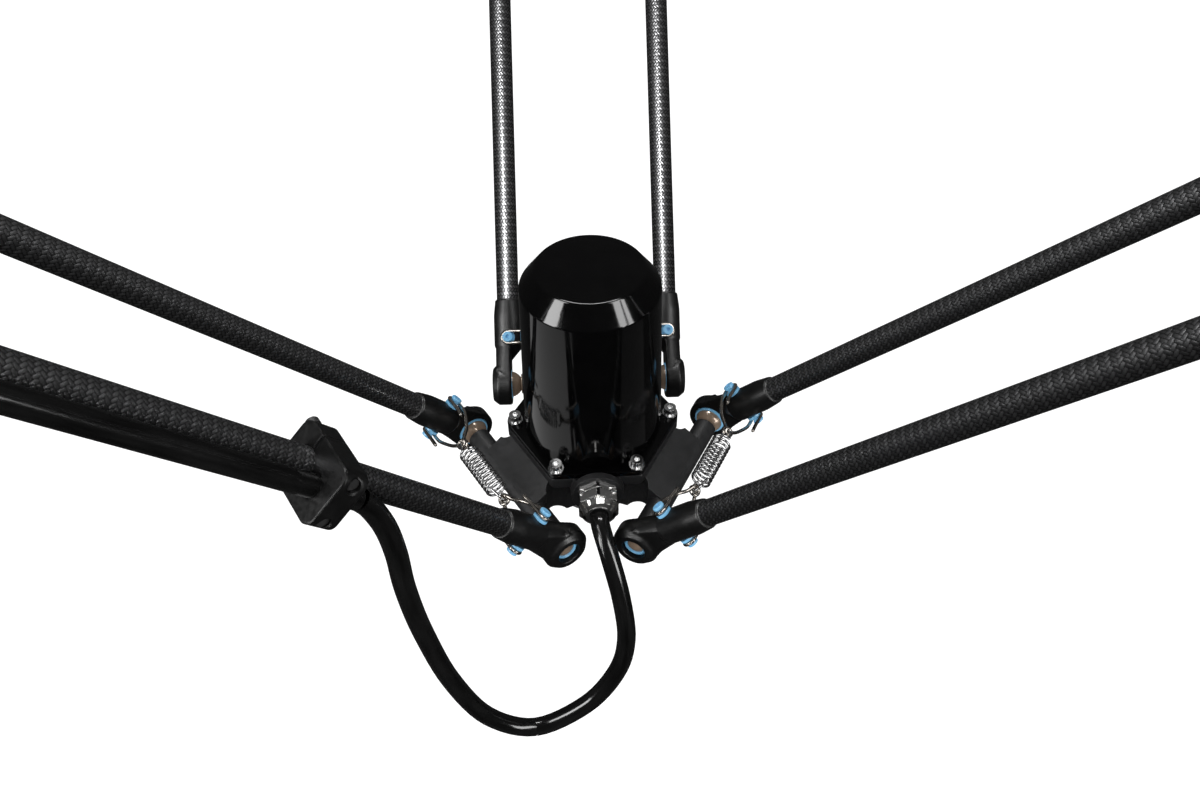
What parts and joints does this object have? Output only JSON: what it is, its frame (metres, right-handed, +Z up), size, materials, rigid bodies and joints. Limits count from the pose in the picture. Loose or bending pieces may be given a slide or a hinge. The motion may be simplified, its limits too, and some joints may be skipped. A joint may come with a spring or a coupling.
{
  "type": "delta robot travelling platform with rod pairs",
  "caption": "Travelling platform of a delta robot with a domed motor cover, cable, tool flange and three pairs of sprung carbon rods on ball joints.",
  "frame": {"origin": "centre of the tool flange's face, on the tool axis", "axes": "+Z up along the tool axis, -Y towards the cable gland, +X to the gland's right seen from above with the gland towards the viewer"},
  "size_m": [0.7206, 0.6683, 0.5029],
  "materials": {
    "cast_black": "satin",
    "cover_black": "gloss",
    "seal_rubber": "matte",
    "stainless": "bright",
    "bronze_ball": "polished",
    "nickel": "polished",
    "cable_jacket": "gloss",
    "motor_iron": "satin",
    "board": "matte",
    "bearing_steel": "polished",
    "flange_aluminium": "satin",
    "carbon": "gloss carbon weave",
    "rod_end_black": "satin",
    "blue_plastic": "satin",
    "spring_steel": "bright",
    "hook_wire": "bright",
    "clamp_black": "satin",
    "black_screw": "satin"
  },
  "bodies": {
    "platform": {"platform_casting": "cast_black", "motor_cover": "cover_black", "cover_gasket": "seal_rubber", "cover_screws": "stainless", "ball_studs": "bronze_ball", "gland_body": "nickel", "gland_nut": "nickel", "gland_seal": "seal_rubber", "motor_stator": "motor_iron", "encoder_ring": "board", "bearing_outer_race": "bearing_steel", "shaft_seal": "seal_rubber", "cable_loop": "cable_jacket"},
    "tool_output": {"tool_flange": "flange_aluminium", "motor_rotor": "motor_iron", "bearing_inner_race": "bearing_steel"},
    "rear_cups": {"rear_cups": "blue_plastic"},
    "rear_rod_a": {"rear_tube_a": "carbon", "rear_rod_ends_a": "rod_end_black", "rear_spring_pins_a": "blue_plastic"},
    "rear_rod_b": {"rear_tube_b": "carbon", "rear_rod_ends_b": "rod_end_black", "rear_spring_pins_b": "blue_plastic"},
    "rear_spring_link": {"rear_spring": "spring_steel", "rear_spring_hooks": "hook_wire"},
    "rear_upper_spring_link": {"rear_upper_spring_set": "spring_steel"},
    "rear_upper_cups": {"rear_upper_cups": "blue_plastic"},
    "rear_elbow": {"rear_elbow_bar": "cast_black", "rear_elbow_balls": "bronze_ball"},
    "left_cups": {"left_cups": "blue_plastic"},
    "left_rod_a": {"left_tube_a": "carbon", "left_rod_ends_a": "rod_end_black", "left_spring_pins_a": "blue_plastic", "cable_run": "cable_jacket", "clamp_saddles": "clamp_black", "clamp_caps": "clamp_black", "clamp_screws": "black_screw", "cable_connector": "nickel"},
    "left_rod_b": {"left_tube_b": "carbon", "left_rod_ends_b": "rod_end_black", "left_spring_pins_b": "blue_plastic"},
    "left_spring_link": {"left_spring": "spring_steel", "left_spring_hooks": "hook_wire"},
    "left_upper_spring_link": {"left_upper_spring_set": "spring_steel"},
    "left_upper_cups": {"left_upper_cups": "blue_plastic"},
    "left_elbow": {"left_elbow_bar": "cast_black", "left_elbow_balls": "bronze_ball"},
    "right_cups": {"right_cups": "blue_plastic"},
    "right_rod_a": {"right_tube_a": "carbon", "right_rod_ends_a": "rod_end_black", "right_spring_pins_a": "blue_plastic"},
    "right_rod_b": {"right_tube_b": "carbon", "right_rod_ends_b": "rod_end_black", "right_spring_pins_b": "blue_plastic"},
    "right_spring_link": {"right_spring": "spring_steel", "right_spring_hooks": "hook_wire"},
    "right_upper_spring_link": {"right_upper_spring_set": "spring_steel"},
    "right_upper_cups": {"right_upper_cups": "blue_plastic"},
    "right_elbow": {"right_elbow_bar": "cast_black", "right_elbow_balls": "bronze_ball"}
  },
  "joints": [
    {"name": "tool_spin", "type": "hinge", "parent": "platform", "child": "tool_output", "pos_m": [0, 0, 0], "axis": [0, 0, 1], "continuous": true},
    {"name": "rear_swing", "type": "hinge", "parent": "platform", "child": "rear_cups", "pos_m": [0, 0.055, 0.034], "axis": [-1, 0, 0], "range_deg": [-26.3, 18.7]},
    {"name": "rear_lean_a", "type": "hinge", "parent": "rear_cups", "child": "rear_rod_a", "pos_m": [-0.0505, 0.055, 0.034], "axis": [0, 0.6909, -0.723], "range_deg": [-16.1, 13.9]},
    {"name": "rear_lean_b", "type": "hinge", "parent": "rear_cups", "child": "rear_rod_b", "pos_m": [0.0505, 0.055, 0.034], "axis": [0, 0.6909, -0.723], "range_deg": [-16.1, 13.9]},
    {"name": "rear_spring_pivot", "type": "hinge", "parent": "rear_rod_a", "child": "rear_spring_link", "pos_m": [-0.04994, 0.07618, 0.05424], "axis": [0, 0.6909, -0.723], "range_deg": [-13.9, 16.1]},
    {"name": "rear_upper_spring_pivot", "type": "hinge", "parent": "rear_rod_a", "child": "rear_upper_spring_link", "pos_m": [-0.04185, 0.38078, 0.34532], "axis": [0, 0.6909, -0.723], "range_deg": [-13.9, 16.1]},
    {"name": "rear_upper_lean", "type": "hinge", "parent": "rear_rod_a", "child": "rear_upper_cups", "pos_m": [-0.04129, 0.40196, 0.36556], "axis": [0, 0.6909, -0.723], "range_deg": [-13.9, 16.1]},
    {"name": "rear_elbow_turn", "type": "hinge", "parent": "rear_upper_cups", "child": "rear_elbow", "pos_m": [0.00921, 0.40196, 0.36556], "axis": [-1, 0, 0], "range_deg": [-50, 50]},
    {"name": "left_swing", "type": "hinge", "parent": "platform", "child": "left_cups", "pos_m": [-0.04763, -0.0275, 0.034], "axis": [0.5, -0.866, 0], "range_deg": [-19.2, 25.8], "deforming": ["cable_loop"]},
    {"name": "left_lean_a", "type": "hinge", "parent": "left_cups", "child": "left_rod_a", "pos_m": [-0.02238, -0.07123, 0.034], "axis": [-0.6711, -0.3875, -0.632], "range_deg": [-13.9, 16.1]},
    {"name": "left_lean_b", "type": "hinge", "parent": "left_cups", "child": "left_rod_b", "pos_m": [-0.07288, 0.01623, 0.034], "axis": [-0.6711, -0.3875, -0.632], "range_deg": [-13.9, 16.1]},
    {"name": "left_spring_pivot", "type": "hinge", "parent": "left_rod_a", "child": "left_spring_link", "pos_m": [-0.03814, -0.08098, 0.0567], "axis": [-0.6711, -0.3875, -0.632], "range_deg": [-16.1, 13.9]},
    {"name": "left_upper_spring_pivot", "type": "hinge", "parent": "left_rod_a", "child": "left_upper_spring_link", "pos_m": [-0.2647, -0.22113, 0.3832], "axis": [-0.6711, -0.3875, -0.632], "range_deg": [-16.1, 13.9]},
    {"name": "left_upper_lean", "type": "hinge", "parent": "left_rod_a", "child": "left_upper_cups", "pos_m": [-0.28046, -0.23087, 0.40591], "axis": [-0.6711, -0.3875, -0.632], "range_deg": [-16.1, 13.9]},
    {"name": "left_elbow_turn", "type": "hinge", "parent": "left_upper_cups", "child": "left_elbow", "pos_m": [-0.30571, -0.18714, 0.40591], "axis": [0.5, -0.866, 0], "range_deg": [-50, 50]},
    {"name": "right_swing", "type": "hinge", "parent": "platform", "child": "right_cups", "pos_m": [0.04763, -0.0275, 0.034], "axis": [0.5, 0.866, 0], "range_deg": [-22.4, 22.6]},
    {"name": "right_lean_a", "type": "hinge", "parent": "right_cups", "child": "right_rod_a", "pos_m": [0.07288, 0.01623, 0.034], "axis": [0.6395, -0.3692, -0.6743], "range_deg": [-13.4, 16.6]},
    {"name": "right_lean_b", "type": "hinge", "parent": "right_cups", "child": "right_rod_b", "pos_m": [0.02238, -0.07123, 0.034], "axis": [0.6395, -0.3692, -0.6743], "range_deg": [-13.4, 16.6]},
    {"name": "right_spring_pivot", "type": "hinge", "parent": "right_rod_a", "child": "right_spring_link", "pos_m": [0.09039, 0.00707, 0.05563], "axis": [0.6395, -0.3692, -0.6743], "range_deg": [-16.6, 13.4]},
    {"name": "right_upper_spring_pivot", "type": "hinge", "parent": "right_rod_a", "child": "right_upper_spring_link", "pos_m": [0.34226, -0.12476, 0.36669], "axis": [0.6395, -0.3692, -0.6743], "range_deg": [-16.6, 13.4]},
    {"name": "right_upper_lean", "type": "hinge", "parent": "right_rod_a", "child": "right_upper_cups", "pos_m": [0.35978, -0.13393, 0.38832], "axis": [0.6395, -0.3692, -0.6743], "range_deg": [-16.6, 13.4]},
    {"name": "right_elbow_turn", "type": "hinge", "parent": "right_upper_cups", "child": "right_elbow", "pos_m": [0.33453, -0.17766, 0.38832], "axis": [0.5, 0.866, 0], "range_deg": [-50, 50]}
  ],
  "couplings": [
    {"joint": "rear_lean_b", "follows": "rear_lean_a", "ratio": 1},
    {"joint": "rear_spring_pivot", "follows": "rear_lean_a", "ratio": -1},
    {"joint": "rear_upper_spring_pivot", "follows": "rear_lean_a", "ratio": -1},
    {"joint": "rear_upper_lean", "follows": "rear_lean_a", "ratio": -1},
    {"joint": "left_lean_b", "follows": "left_lean_a", "ratio": 1},
    {"joint": "left_spring_pivot", "follows": "left_lean_a", "ratio": -1},
    {"joint": "left_upper_spring_pivot", "follows": "left_lean_a", "ratio": -1},
    {"joint": "left_upper_lean", "follows": "left_lean_a", "ratio": -1},
    {"joint": "right_lean_b", "follows": "right_lean_a", "ratio": 1},
    {"joint": "right_spring_pivot", "follows": "right_lean_a", "ratio": -1},
    {"joint": "right_upper_spring_pivot", "follows": "right_lean_a", "ratio": -1},
    {"joint": "right_upper_lean", "follows": "right_lean_a", "ratio": -1}
  ]
}
